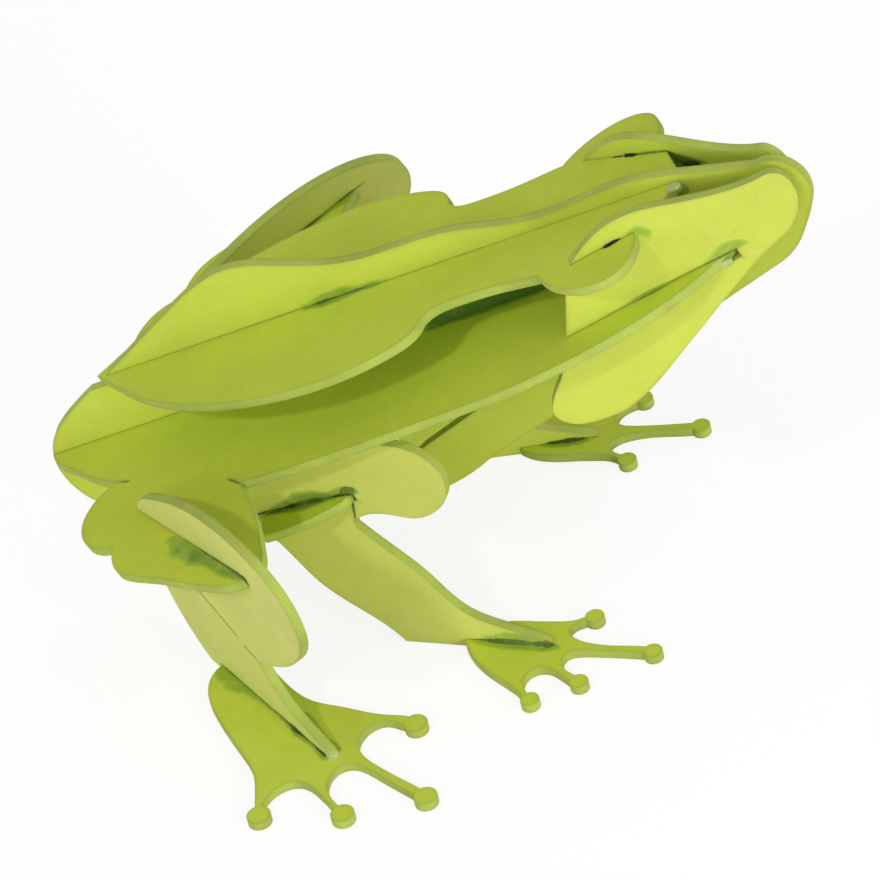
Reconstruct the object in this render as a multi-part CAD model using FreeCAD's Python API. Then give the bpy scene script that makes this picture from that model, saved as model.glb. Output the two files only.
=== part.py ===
# Slot-together card frog: flat laser-cut card sheets pushed into one another.
# Millimetres. The frog faces +X, +Z is up, its right side is -Y, feet stand on Z = 0.
import FreeCAD, Part
import math
import os

V = FreeCAD.Vector

# ---- driving dimensions -------------------------------------------------
card = 1.5              # thickness of the card
fit = 0.15              # total side play of a sheet in its slot
seat = 0.15             # gap where a sheet's edge rests on another sheet
kerf = 0.3              # width of a single laser cut line
body_length = 128.0     # rump to nose, measured along the tilted body
body_width = 37.0       # widest part of the upper deck
body_tilt = 20.0        # nose-up angle of the body
upper_level = 50.8      # top face of the upper deck, square to the tilted body
deck_pitch = 10.25      # spacing of the three decks
# the two cheeks are the same sheet; the left one sits a little further back and more askew
cheek_toe_in = {"right": 15.5, "left": 16.8}    # angle of the sheet to the centre plane
cheek_nose_gap = {"right": 2.3, "left": 1.9}    # centre plane to the middle of the cheek at the nose
cheek_slide = {"right": 0.0, "left": -1.2}      # shift along the sheet
halflap = 12.0          # where deck slots and spine slots meet, along the body
eye_slot_end = 58.8     # end of the cheek slot for the upper deck, along the cheek
jaw_slot_end = 71.6     # end of the cheek slot for the lower deck
arm_slot_spare = 0.6    # the chest plate's slot in the arm is this much too long
eye_notch_length = 2.4  # the upper deck's slot starts this far behind the end of the cheek's
# the two hind legs are the same sheet, set at different angles
leg_splay = {"right": 45.0, "left": 41.0}   # angle of the sheet to the centre plane
leg_lean = {"right": 5.0, "left": -13.0}    # lean of the sheet, top outward
leg_offset = {"right": 38.8, "left": 48.6}  # from the origin, square to the sheet, at the ground
leg_slide = {"right": 0.0, "left": -6.7}    # shift along the sheet
leg_slot_end = {"right": 17.9, "left": 20.0}    # where the thigh tab's edge meets the sheet
# so are the two front legs, and their feet are turned with them
arm_splay = {"right": 7.9, "left": 8.5}     # angle of the sheet to the centre plane
arm_lean = {"right": 0.0, "left": -4.0}     # lean of the sheet, top outward
arm_x = 3.0             # heel position, from the origin
arm_y = {"right": 18.9, "left": 20.8}
front_foot_turn = {"right": 0.0, "left": 3.4}   # foot turned inward
front_foot_y = {"right": 18.9, "left": 21.3}    # heel of the foot, from the centre plane
toe_neck = 1.3          # width of a toe where it meets its round tip
hind_pad = 1.75         # radius of a round toe tip, hind foot
front_pad = 1.4         # radius of a round toe tip, front foot

# outlines are drawn for a body 128 long and 37 wide, then stretched
kl = body_length / 128.0
kw = body_width / 37.0
half = card / 2.0


# ---- sheets -------------------------------------------------------------
class Plane:
    """Middle plane of a sheet: origin, two directions in it, and its normal."""

    def __init__(self, origin, u, v, su=1.0, sv=1.0):
        self.o = origin
        self.u = V(u).normalize()
        self.v = V(v).normalize()
        self.n = self.u.cross(self.v)
        self.su = su
        self.sv = sv

    def at(self, p, off=0.0):
        return self.o + self.u * (p[0] * self.su) + self.v * (p[1] * self.sv) + self.n * off


def wire(plane, runs, off=0.0):
    """Closed outline. A run of two points is straight, a longer run is a smooth curve."""
    edges = []
    for run in runs:
        pts = [plane.at(p, off) for p in run]
        if len(pts) == 2:
            edges.append(Part.makeLine(pts[0], pts[1]))
        else:
            curve = Part.BSplineCurve()
            closed = (pts[0] - pts[-1]).Length < 1e-9
            curve.interpolate(pts[:-1] if closed else pts, PeriodicFlag=closed)
            edges.append(curve.toShape())
    return Part.Wire(Part.__sortEdges__(edges))


def sheet(plane, runs):
    face = Part.Face(wire(plane, runs, -half))
    return face.extrude(plane.n * card)


def ring(points):
    """One smooth closed run through the points."""
    return [list(points) + [points[0]]]


def bar(plane, a, b, width):
    """Straight cutter through a sheet from a to b (points in space), 'width' wide."""
    along = b - a
    length = along.Length
    along.normalize()
    across = plane.n.cross(along)
    corner = a - across * (width / 2.0) - plane.n * card
    pts = [corner, corner + along * length]
    pts += [pts[1] + across * width, corner + across * width]
    face = Part.Face(Part.makePolygon(pts + [corner]))
    return face.extrude(plane.n * (2.0 * card))


def crossing(plane, other):
    """Line where two middle planes meet: a point and a direction."""
    d = plane.n.cross(other.n).normalize()
    step = plane.n.cross(d)
    gap = (other.o - plane.o).dot(other.n) / step.dot(other.n)
    return plane.o + step * gap, d


def slot(plane, other, gauge, start, end):
    """Cutter for the slot in 'plane' that takes the sheet on 'other'.
    start and end are measured in the 'gauge' plane, along its first direction."""
    base, d = crossing(plane, other)
    rate = d.dot(gauge.u) / gauge.su
    here = (base - gauge.o).dot(gauge.u) / gauge.su
    a = base + d * ((start - here) / rate)
    b = base + d * ((end - here) / rate)
    c = abs(plane.n.dot(other.n))
    s = math.sqrt(1.0 - c * c)
    return bar(plane, a, b, card * (1.0 + c) / s + fit)


def cut_line(plane, points):
    """Narrow laser cut through a sheet, following the points."""
    cutters = []
    for p, q in zip(points[:-1], points[1:]):
        cutters.append(bar(plane, plane.at(p), plane.at(q), kerf))
    return cutters


def minus(shape, cutters):
    for c in cutters:
        shape = shape.cut(c)
    return shape.removeSplitter()


# ---- planes of the sheets (right-hand side; the left side is mirrored) ---
tilt = math.radians(body_tilt)
fore = V(math.cos(tilt), 0, math.sin(tilt))
rise = V(-math.sin(tilt), 0, math.cos(tilt))
side = V(0, 1, 0)
upper_z = upper_level * kl - half
lower_z = (upper_level - deck_pitch) * kl - half
chest_z = (upper_level - 2.0 * deck_pitch) * kl - half

spine_p = Plane(V(0, 0, 0), fore, rise, kl, kl)
upper_p = Plane(rise * upper_z, fore, side, kl, kw)
lower_p = Plane(rise * lower_z, fore, side, kl, kw)
chest_p = Plane(rise * chest_z, fore, side, kl, kw)

nose_u = 80.3
cheek_p = {}
leg_p = {}
hind_foot_p = {}
for hand in ("right", "left"):
    toe = math.radians(cheek_toe_in[hand])
    cheek_dir = fore * math.cos(toe) + side * math.sin(toe)
    nose_gap = cheek_nose_gap[hand] + nose_u * kl * math.tan(toe)
    cheek_o = cheek_dir * (cheek_slide[hand] * kl) - side * nose_gap
    cheek_p[hand] = Plane(cheek_o, cheek_dir, rise, kl, kl)
    splay = math.radians(leg_splay[hand])
    lean = math.radians(leg_lean[hand])
    run = V(math.cos(splay), -math.sin(splay), 0)
    out = V(-math.sin(splay), -math.cos(splay), 0)
    up = V(0, 0, 1) * math.cos(lean) + out * math.sin(lean)
    heel = out * leg_offset[hand] + run * leg_slide[hand]
    heel = V(heel.x * kl, heel.y * kw, 0)
    turn = math.radians(45.0 - leg_splay[hand])
    foot_u = V(math.cos(turn), math.sin(turn), 0)
    foot_v = V(-math.sin(turn), math.cos(turn), 0)
    leg_p[hand] = Plane(heel, run, up, kl, kl)
    hind_foot_p[hand] = Plane(heel + V(0, 0, half), foot_u, foot_v, kl, kl)

arm_p = {}
front_foot_p = {}
for hand in ("right", "left"):
    splay = math.radians(arm_splay[hand])
    lean = math.radians(arm_lean[hand])
    run = V(math.cos(splay), -math.sin(splay), 0)
    out = V(-math.sin(splay), -math.cos(splay), 0)
    up = V(0, 0, 1) * math.cos(lean) + out * math.sin(lean)
    arm_p[hand] = Plane(V(arm_x * kl, -arm_y[hand] * kw, 0), run, up, kl, kl)
    turn = math.radians(front_foot_turn[hand])
    foot_u = V(math.cos(turn), math.sin(turn), 0)
    foot_v = V(-math.sin(turn), math.cos(turn), 0)
    front_foot_p[hand] = Plane(V(arm_x * kl, -front_foot_y[hand] * kw, half), foot_u, foot_v, kl, kl)


# ---- spine: the frog's profile, with an open window behind the throat ----
back = [(-32, 50.2), (-24, 54), (-16, 57.7), (-9, 60.6), (-3, 61.5), (5, 58.8), (13, 56.1), (22, 55.6),
        (31, 55), (39, 53), (48, 52.7), (57, 53.3), (66, 51.6), (76, 48.9)]
nose = [(76, 48.9), (80.2, 47.7), (81.5, 44.8), (80.9, 41.2), (78.1, 37.4), (74.4, 33.8), (70.4, 31.8)]
throat = [(70.4, 31.8), (12.7, 15.2)]
belly = [(12.7, 15.2), (7.6, 13.5), (1, 12.5), (-6, 12.4), (-20, 16.2), (-34, 22.5), (-46, 30.6)]
rump = [(-46, 30.6), (-47.4, 35), (-47, 39.5), (-45, 43), (-40, 46.6), (-35, 49), (-32, 50.2)]
spine = sheet(spine_p, [back, nose, throat, belly, rump])

window = [[(-3, 29.5), (-2.6, 24), (0.5, 20.6), (5, 20.9)], [(5, 20.9), (28, 28)],
          [(28, 28), (32, 31.2), (29, 35)], [(29, 35), (3, 35)], [(3, 35), (-1.4, 33.4), (-3, 29.5)]]
chest_rear = -13.0
chest_front = 1.6
chest_lap = -8.0
spine = minus(spine, [
    sheet(spine_p, window),
    slot(spine_p, upper_p, spine_p, -60, halflap + fit),
    slot(spine_p, lower_p, spine_p, -60, halflap + fit),
    slot(spine_p, chest_p, spine_p, chest_lap - fit, 0),
])


def both_sides(right_runs):
    """Outline of a symmetric sheet from its left half, drawn rear to front."""
    other = [[(u, -v) for u, v in reversed(run)] for run in reversed(right_runs)]
    return right_runs + other


# ---- upper deck: round haunches, waist, eye lobes, blunt front ----------
upper = sheet(upper_p, both_sides([
    [(-32.4, 0), (-29.4, 2.8), (-25, 6.8), (-18, 11.6), (-10, 15.2), (-2, 17.4), (6, 18.5), (14, 18.2),
     (20, 16.8), (23.8, 14.8), (25, 12.2)],
    [(25, 12.2), (26.4, 10.9), (30, 10.3), (37, 10.6), (44, 11.6)],
    [(44, 11.6), (46, 14), (49.5, 16.4), (54, 17.6), (57.8, 16.5), (59.4, 13.8), (59.7, 11.4), (59.2, 9)],
    [(59.2, 9), (61.5, 7.5)],
    [(61.5, 7.5), (63.4, 3.6), (65.6, 0)],
]))
upper_cuts = [slot(upper_p, spine_p, spine_p, halflap - fit, 90)]
for hand in ("right", "left"):
    notch = slot(upper_p, cheek_p[hand], cheek_p[hand], eye_slot_end - eye_notch_length, 72)
    upper_cuts.append(notch if hand == "right" else notch.mirror(V(0, 0, 0), side))
upper = minus(upper, upper_cuts)

# ---- lower deck: belly sheet with a thigh tab on each side --------------
tab_notch = 1.5
lower = sheet(lower_p, both_sides([
    [(-46.8, 0), (-45.3, 3), (-42.5, 5.2), (-38.4, 8.6), (-35, 10.8), (-31.9, 12)],
    [(-31.9, 12), (-34.7, 13.1), (-36.4, 15.4), (-37.2, 18.8), (-36.4, 22.2), (-33.8, 25.2), (-30.3, 26.2)],
    [(-30.3, 26.2), (-29.8, 29), (-28.2, 32), (-25.4, 34), (-21, 36.1), (-16, 39), (-11, 41.6), (-6.8, 43.2),
     (-3.4, 43)],
    [(-3.4, 43), (-1.9, 41), (-2.6, 37), (-4, 32.8), (-5.7, 28.6), (-7.6, 24.8), (-9.7, 21.2)],
    [(-9.7, 21.2), (2, 21.7), (14, 21.4), (26, 20.9), (38, 19.7), (48, 17.3), (57, 13.8), (64, 9.5),
     (68.2, 5.2), (69.7, 2.7), (70.2, 0)],
]))
lower_cuts = [slot(lower_p, spine_p, spine_p, halflap - fit, 90)]
for hand in ("right", "left"):
    end = leg_slot_end[hand] - tab_notch
    tab_cut = slot(lower_p, leg_p[hand], leg_p[hand], end, end + 14)
    jaw_relief = slot(lower_p, cheek_p[hand], cheek_p[hand], jaw_slot_end - fit, jaw_slot_end + 12)
    for cut in (tab_cut, jaw_relief):
        lower_cuts.append(cut if hand == "right" else cut.mirror(V(0, 0, 0), side))
for sgn in (-1, 1):
    lower_cuts += cut_line(lower_p, [(-9.6, sgn * 21.4), (-12, sgn * 19.6)])
    lower_cuts += cut_line(lower_p, [(-32.1, sgn * 12.1), (-30.6, sgn * 12.6)])
lower = minus(lower, lower_cuts)

# ---- chest plate: cross sheet that carries the front legs ----------------
chest = sheet(chest_p, both_sides([
    [(chest_rear, 0), (chest_rear, 20.6)],
    [(chest_rear, 20.6), (chest_rear + 0.5, 21.2)],
    [(chest_rear + 0.5, 21.2), (-4, 20.8), (chest_front - 1.4, 19.6)],
    [(chest_front - 1.4, 19.6), (chest_front - 0.3, 18.8), (chest_front, 17.4)],
    [(chest_front, 17.4), (chest_front, 0)],
]))
chest = minus(chest, [slot(chest_p, spine_p, spine_p, chest_rear - 5, chest_lap + fit)])

# ---- cheek: side of the head, slides over both decks from the front ------
def cheek(hand):
    plane = cheek_p[hand]
    shape = sheet(plane, [
        [(51, 50.9), (54, 52.5), (58, 53.8), (62, 53.8), (67, 52.3), (74, 49.9), (80, 49)],
        [(80, 49), (82.8, 47.9), (83.4, 45), (82, 41.5), (78.5, 38.8)],
        [(78.5, 38.8), (71, 36.3), (63, 32.5), (56, 29.2), (50, 26.5), (45, 25.3)],
        [(45, 25.3), (41, 25.9), (37.5, 27.7), (36.4, 30), (37.4, 32.2), (40, 34.7)],
        [(40, 34.7), (44.2, 40.2), (47.8, 46.4), (51, 50.9)],
    ])
    return minus(shape, [
        slot(plane, upper_p, plane, 30, eye_slot_end),
        slot(plane, lower_p, plane, 30, jaw_slot_end),
    ])


# ---- hind leg: thigh, knee and shank in one sheet ------------------------
foot_step = 8.0         # the leg reaches the ground up to here, then rests on the foot
foot_toe = 21.5
under = Part.makeBox(600, 600, 50, V(-300, -300, -50))


def hind_leg(hand):
    plane = leg_p[hand]
    step = (card + seat + half * abs(plane.n.z)) / plane.v.z / kl
    low = -card / kl
    shape = sheet(plane, [
        [(-7.5, low), (foot_step, low)],
        [(foot_step, low), (foot_step, step)],
        [(foot_step, step), (foot_toe, step)],
        [(foot_toe, step), (foot_toe, step + 1)],
        [(foot_toe, step + 1), (18, 3.8), (14, 5.4), (11.4, 8), (9.9, 11), (9.2, 13.4)],
        [(9.2, 13.4), (13, 15.2), (19, 19.2), (25, 25), (28, 30), (28.6, 35), (26.6, 39.6), (22, 42.5),
         (15, 43.6), (7, 42.5), (0, 39.9), (-7, 36), (-12, 32.3), (-13.9, 29.5)],
        [(-13.9, 29.5), (-15.3, 24), (-15.9, 18), (-15.3, 11), (-13.4, 5.2), (-11, 1.5), (-7.5, low)],
    ])
    cuts = [slot(plane, lower_p, plane, -40, leg_slot_end[hand] - tab_notch + fit)]
    cuts += cut_line(plane, [(-2.8, 19.5), (1, 17.7), (4.7, 15.5)])
    cuts += cut_line(plane, [(6.2, 14.4), (9.6, 13.2)])
    return minus(shape, cuts).cut(under)


# ---- front leg: shoulder, elbow and forearm in one sheet -----------------
arm_step = 6.5


def front_leg(hand):
    plane = arm_p[hand]
    step = (card + seat + half * abs(plane.n.z)) / plane.v.z / kl
    low = -card / kl
    shape = sheet(plane, [
        [(-8.5, low), (arm_step, low)],
        [(arm_step, low), (arm_step, step)],
        [(arm_step, step), (13.2, step)],
        [(13.2, step), (9.5, 3.2), (5, 4.7), (1.6, 6.4), (-0.6, 8.6), (-3.6, 13), (-8, 18), (-12, 22.4)],
        [(-12, 22.4), (-12, 23.6)],
        [(-12, 23.6), (-9, 25.2), (-6, 25.2), (-2.6, 24.9), (0.3, 26.2), (2.7, 29), (3.3, 33.2),
         (1.1, 37), (-4.4, 38.9), (-10, 38), (-16, 36.2), (-22, 34), (-27, 32), (-30.2, 28.6),
         (-30.4, 24.6), (-28, 21.2), (-24.8, 18)],
        [(-24.8, 18), (-22.6, 14.4), (-20, 10.4), (-16, 6.6), (-12, 3.2), (-8.5, low)],
    ])
    cuts = [slot(plane, chest_p, chest_p, chest_rear - fit, chest_front + arm_slot_spare)]
    cuts += cut_line(plane, [(-12, 23.3), (-11.7, 28)])
    return minus(shape, cuts).cut(under)


# ---- feet: palm, slim toes with hollow webs between them, round toe tips --
def foot(plane, toes, webs, pad):
    """Flat foot. A toe is a point on its line and the middle of its tip; toes and webs run
    counterclockwise, and the last web goes round the heel."""
    w = toe_neck / 2.0
    near = []
    far = []
    for root, tip in toes:
        reach = math.hypot(tip[0] - root[0], tip[1] - root[1])
        across = ((root[1] - tip[1]) / reach * w, (tip[0] - root[0]) / reach * w)
        near.append((tip[0] - across[0], tip[1] - across[1]))
        far.append((tip[0] + across[0], tip[1] + across[1]))
    runs = []
    for i, web in enumerate(webs):
        runs.append([near[i], far[i]])
        runs.append([far[i]] + web + [near[(i + 1) % len(near)]])
    shape = sheet(plane, runs)
    for root, tip in toes:
        shape = shape.fuse(Part.makeCylinder(pad * kl, card, plane.at(tip, -half), plane.n))
    return shape.removeSplitter()


def hind_foot(hand):
    shape = foot(hind_foot_p[hand], [
        ((5.6, -23.4), (6.1, -26.6)),
        ((14.6, -22.2), (18.3, -26.6)),
        ((24, -19.6), (29.8, -23.5)),
        ((22, -7.9), (25.9, -9)),
    ], [
        [(6.5, -24), (7, -22.6), (8.2, -21.2), (9.9, -20.3), (11.4, -20.4), (12.9, -21.3), (14.5, -22.9),
         (16, -24.6)],
        [(16.5, -24), (15.5, -22.3), (15.1, -20.5), (15.4, -18.7), (16.5, -17.3), (18, -16.9),
         (19.6, -17.4), (22, -19), (25, -21.1)],
        [(26, -20.2), (24, -18.9), (22, -17.5), (20.2, -16.1), (18.9, -14.6), (18.2, -12.8),
         (18.5, -10.8), (19.6, -9.2), (21.3, -8.4), (23.2, -8.9)],
        [(24, -7.5), (21.5, -7.25), (18, -6.5), (14, -5.3), (10, -4.1), (6.6, -1.7), (4.2, 0.9), (2.2, 3.1),
         (-0.4, 4.8), (-3.2, 4.8), (-5.4, 3.1), (-6.25, 0.4), (-5.8, -2.8), (-4.1, -6.2), (-1.1, -10.8),
         (1.6, -14.6), (3.7, -18.2), (4.7, -22), (5.1, -24.2)],
    ], hind_pad)
    plane = leg_p[hand]
    return minus(shape, [slot(hind_foot_p[hand], plane, plane, -20, foot_step + fit)])


def front_foot(hand):
    shape = foot(front_foot_p[hand], [
        ((9.6, -10.9), (11.4, -13.3)),
        ((15.2, -7.9), (18, -9.9)),
        ((22, -3.5), (27.9, -4.1)),
        ((16, 2.3), (18.3, 3.25)),
    ], [
        [(10.4, -11.4), (9.95, -10.2), (10, -8.9), (10.6, -7.8), (11.8, -7.1), (13.2, -7.2), (14.5, -8),
         (15.9, -9.2)],
        [(16.8, -8.4), (15.8, -7.6), (15.1, -6.5), (15, -5.2), (15.6, -4.2), (17, -3.8), (19.5, -3.85),
         (22.6, -4.1), (25.4, -4.4)],
        [(26, -3.15), (24, -3), (21.5, -2.85), (19, -2.4), (17, -1.7), (15.7, -0.8), (15.1, 0.3), (15.6, 1.4),
         (16.9, 2.2)],
        [(16.9, 3.1), (15.6, 2.5), (13.4, 2.3), (10, 2.45), (7, 2.65), (3.6, 2.2), (1.2, 0.9), (0, -0.5),
         (0.4, -2.3), (1.6, -4.4), (3.4, -6.5), (5.4, -8.3), (7.4, -9.9), (9.2, -11.5)],
    ], front_pad)
    plane = arm_p[hand]
    return minus(shape, [slot(front_foot_p[hand], plane, plane, -20, arm_step + fit)])


# ---- mirror, centre, export ----------------------------------------------
pieces = {
    "spine": spine,
    "upper_deck": upper,
    "lower_deck": lower,
    "chest_plate": chest,
}
for hand in ("right", "left"):
    pair = {
        "cheek": cheek(hand),
        "hind_leg": hind_leg(hand),
        "front_leg": front_leg(hand),
        "hind_foot": hind_foot(hand),
        "front_foot": front_foot(hand),
    }
    for name, shape in pair.items():
        pieces[name + "_" + hand] = shape if hand == "right" else shape.mirror(V(0, 0, 0), side)

box = Part.makeCompound(list(pieces.values())).optimalBoundingBox(True, False)
shift = V(-box.Center.x, -box.Center.y, 0)
os.makedirs("parts", exist_ok=True)
for name, shape in pieces.items():
    placed = shape.copy()
    placed.translate(shift)
    placed.exportStep("parts/" + name + ".step")
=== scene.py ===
import math
import bmesh
import bpy
import numpy as np
from mathutils import Matrix, Vector, geometry, noise


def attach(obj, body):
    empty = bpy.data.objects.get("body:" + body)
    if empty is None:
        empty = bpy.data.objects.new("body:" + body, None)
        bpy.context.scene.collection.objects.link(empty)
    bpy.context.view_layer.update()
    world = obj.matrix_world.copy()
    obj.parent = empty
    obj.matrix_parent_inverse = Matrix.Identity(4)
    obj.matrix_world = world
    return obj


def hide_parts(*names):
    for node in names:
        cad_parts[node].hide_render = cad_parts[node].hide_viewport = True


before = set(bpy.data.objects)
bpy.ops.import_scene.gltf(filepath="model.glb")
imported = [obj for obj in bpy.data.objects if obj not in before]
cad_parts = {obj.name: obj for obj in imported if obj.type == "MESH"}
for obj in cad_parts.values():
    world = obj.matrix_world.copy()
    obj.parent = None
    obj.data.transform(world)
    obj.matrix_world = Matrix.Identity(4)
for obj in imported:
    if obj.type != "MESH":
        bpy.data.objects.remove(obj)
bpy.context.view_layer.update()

MM = 0.001
TO_MM = 1000.0

# ---------------------------------------------------------------- camera
# The frog is seen from above its right shoulder, the camera rolled a little.
CAMERA_AT = Vector((287.48, -814.34, 772.17)) * MM
CAMERA_RIGHT = Vector((0.96688, 0.16434, -0.19526))
CAMERA_UP = Vector((0.03090, 0.68410, 0.72874))
CAMERA_BACK = Vector((0.25334, -0.71064, 0.65636))
SENSOR_WIDTH = 36.0
FOCAL_LENGTH = 327.27
CLIP_START = 0.05
CLIP_END = 20.0

camera_data = bpy.data.cameras.new("Camera")
camera_data.sensor_width = SENSOR_WIDTH
camera_data.lens = FOCAL_LENGTH
camera_data.clip_start = CLIP_START
camera_data.clip_end = CLIP_END
camera = bpy.data.objects.new("Camera", camera_data)
camera_turn = Matrix((CAMERA_RIGHT, CAMERA_UP, CAMERA_BACK)).transposed()
camera.matrix_world = Matrix.Translation(CAMERA_AT) @ camera_turn.to_4x4()
bpy.context.scene.collection.objects.link(camera)
bpy.context.scene.camera = camera
bpy.context.scene.view_settings.view_transform = "Standard"

# ---------------------------------------------------------------- colours
LIME_DEEP = (0.545, 0.665, 0.028, 1)
# pale lime: painted light, the colour of the best-lit sheets
LIME_PAINTED_LIT = (0.705, 0.735, 0.175, 1)
LIME_FIBRE = (0.70, 0.74, 0.22, 1)
SCORCHED = (0.20, 0.19, 0.055, 1)
CUT_LIME = (0.485, 0.590, 0.105, 1)
CUT_FIBRE = (0.60, 0.66, 0.22, 1)
CUT_PLY = (0.36, 0.45, 0.07, 1)
CUT_SINGED = (0.25, 0.28, 0.06, 1)
# what glue does to the colour of the card it soaks into; painted shade drawn as a stain uses the same tints
DRY_TINT = (1, 1, 1, 1)
SOAKED_AND_SHADED_TINT = (0.56, 0.71, 0.50, 1)
DRENCHED_AND_SHADED_TINT = (0.17, 0.31, 0.30, 1)
GLUE_THIN = (0.17, 0.26, 0.04, 1)
GLUE_FULL = (0.055, 0.085, 0.012, 1)
GLUE_BLACK = (0.010, 0.014, 0.004, 1)
MILK_DEEP = (0.50, 0.63, 0.16, 1)
MILK_PALE = (0.64, 0.74, 0.32, 1)
WHITE = (1, 1, 1, 1)
FLOOR_PAPER = (0.84, 0.84, 0.84, 1)
FLOOR_SHADOW = (0.22, 0.22, 0.22, 1)


# ---------------------------------------------------------------- node helpers
FLOAT, COLOR = "NodeSocketFloat", "NodeSocketColor"
NOISE_RANGE = (0.3, 0.7)    # nearly all values of a noise texture lie between these


def new_material(name):
    material = bpy.data.materials.new(name)
    material.use_nodes = True
    material.node_tree.nodes.clear()
    return material, material.node_tree


def node(tree, kind, **settings):
    """One node; settings are its properties, and 'inputs' its input values or links."""
    made = tree.nodes.new(kind)
    inputs = settings.pop("inputs", {})
    for key, value in settings.items():
        setattr(made, key, value)
    for key, value in inputs.items():
        socket = made.inputs[key]
        if isinstance(value, bpy.types.NodeSocket):
            tree.links.new(value, socket)
        else:
            socket.default_value = value
    return made


def group(name, inputs, outputs):
    """An empty shader group; inputs are (name, socket type, value), outputs (name, socket type)."""
    tree = bpy.data.node_groups.new(name, "ShaderNodeTree")
    for label, kind, value in inputs:
        socket = tree.interface.new_socket(name=label, in_out="INPUT", socket_type=kind)
        socket.default_value = value
    for label, kind in outputs:
        tree.interface.new_socket(name=label, in_out="OUTPUT", socket_type=kind)
    return tree, tree.nodes.new("NodeGroupInput").outputs, tree.nodes.new("NodeGroupOutput").inputs


def math_node(tree, op, a, b=0.0, clamp=False):
    return node(tree, "ShaderNodeMath", operation=op, use_clamp=clamp, inputs={0: a, 1: b}).outputs[0]


def ramp(tree, value, low, high, to_low=0.0, to_high=1.0):
    return node(tree, "ShaderNodeMapRange", inputs={
        0: value, 1: low, 2: high, 3: to_low, 4: to_high}).outputs[0]


def spread(tree, value, low, high):
    """A noise value spread out from low to high."""
    return ramp(tree, value, *NOISE_RANGE, low, high)


def mix_color(tree, factor, a, b, blend="MIX"):
    return node(tree, "ShaderNodeMix", data_type="RGBA", blend_type=blend, inputs={
        0: factor, 6: a, 7: b}).outputs[2]


def object_place(tree):
    return node(tree, "ShaderNodeTexCoord").outputs["Object"]


def attribute(tree, name):
    return node(tree, "ShaderNodeAttribute", attribute_name=name).outputs["Fac"]


def noise_node(tree, place, scale, detail, roughness=0.5, output="Fac"):
    return node(tree, "ShaderNodeTexNoise", inputs={
        "Vector": place, "Scale": scale, "Detail": detail, "Roughness": roughness}).outputs[output]


def bump(tree, height, strength, distance):
    return node(tree, "ShaderNodeBump", inputs={
        "Strength": strength, "Distance": distance, "Height": height}).outputs[0]


def surface(tree, shader):
    node(tree, "ShaderNodeOutputMaterial", inputs={"Surface": shader.outputs[0]})


# ---------------------------------------------------------------- shared effects
# Scales are those of the noise in object space, so per metre: the higher, the finer.
CLOUD_SCALE = 70.0
PULP_SCALE = 520.0
STRAND_SCALES = (260.0, 2600.0, 2600.0)     # long one way and thin across
STRAND_TURNS = ((0.3, 0.9, 0.2), (1.2, 0.1, 1.0), (2.1, 0.6, 2.2))
STRAND_LEVELS = (0.60, 0.74)                # only the peaks of the noise become strands
STRAND_RELIEF = 0.5
BEND_SCALE = 160.0
BEND_REACH = (6.0 * MM, 6.0 * MM, 6.0 * MM)
FIBRE_ROUGHNESS = (0.72, 0.86)

DRIFT_SCALE = 90.0
DRIFT_LEVELS = (0.35, 0.65)
SCORCH_FALL = 1.6

RAG_SCALE = 330.0
RAG_REACH = 0.16
SOAKED_LEVELS = (0.16, 0.52)
DRENCHED_LEVELS = (0.62, 1.05)
SOAKED_ROUGHNESS = 0.42


def make_card_fibre():
    """Dyed paper pulp: soft clouds, short pale fibres, and a fine felt surface."""
    tree, given, result = group("Card fibre", [
        ("Dye", COLOR, LIME_DEEP), ("Pale fibre", COLOR, LIME_FIBRE),
        ("Clouding", FLOAT, 0.1), ("Fibres", FLOAT, 0.5)],
        [("Color", COLOR), ("Height", FLOAT), ("Roughness", FLOAT)])
    here = object_place(tree)
    clouds = noise_node(tree, here, CLOUD_SCALE, 3.0, 0.6)
    pulp = noise_node(tree, here, PULP_SCALE, 4.0, 0.7)
    bend = noise_node(tree, here, BEND_SCALE, 1.0, output="Color")
    bent = node(tree, "ShaderNodeVectorMath", operation="MULTIPLY_ADD", inputs={
        0: bend, 1: BEND_REACH, 2: here}).outputs[0]
    strands = None
    for turn in STRAND_TURNS:
        laid = node(tree, "ShaderNodeMapping", inputs={
            "Vector": bent, "Rotation": turn, "Scale": STRAND_SCALES}).outputs[0]
        layer = ramp(tree, noise_node(tree, laid, 1.0, 1.0), *STRAND_LEVELS)
        strands = layer if strands is None else math_node(tree, "MAXIMUM", strands, layer)
    shade = math_node(tree, "MULTIPLY", spread(tree, clouds, -1.0, 1.0), given["Clouding"])
    fine = math_node(tree, "MULTIPLY", spread(tree, pulp, -0.5, 0.5), given["Clouding"])
    level = math_node(tree, "ADD", math_node(tree, "ADD", shade, fine), 1.0)
    dyed = node(tree, "ShaderNodeVectorMath", operation="SCALE", inputs={
        0: given["Dye"], "Scale": level}).outputs[0]
    shown = math_node(tree, "MULTIPLY", strands, given["Fibres"])
    relief = math_node(tree, "MULTIPLY", strands, STRAND_RELIEF)
    tree.links.new(mix_color(tree, shown, dyed, given["Pale fibre"]), result["Color"])
    tree.links.new(math_node(tree, "ADD", relief, pulp), result["Height"])
    tree.links.new(spread(tree, pulp, *FIBRE_ROUGHNESS), result["Roughness"])
    return tree


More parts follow.
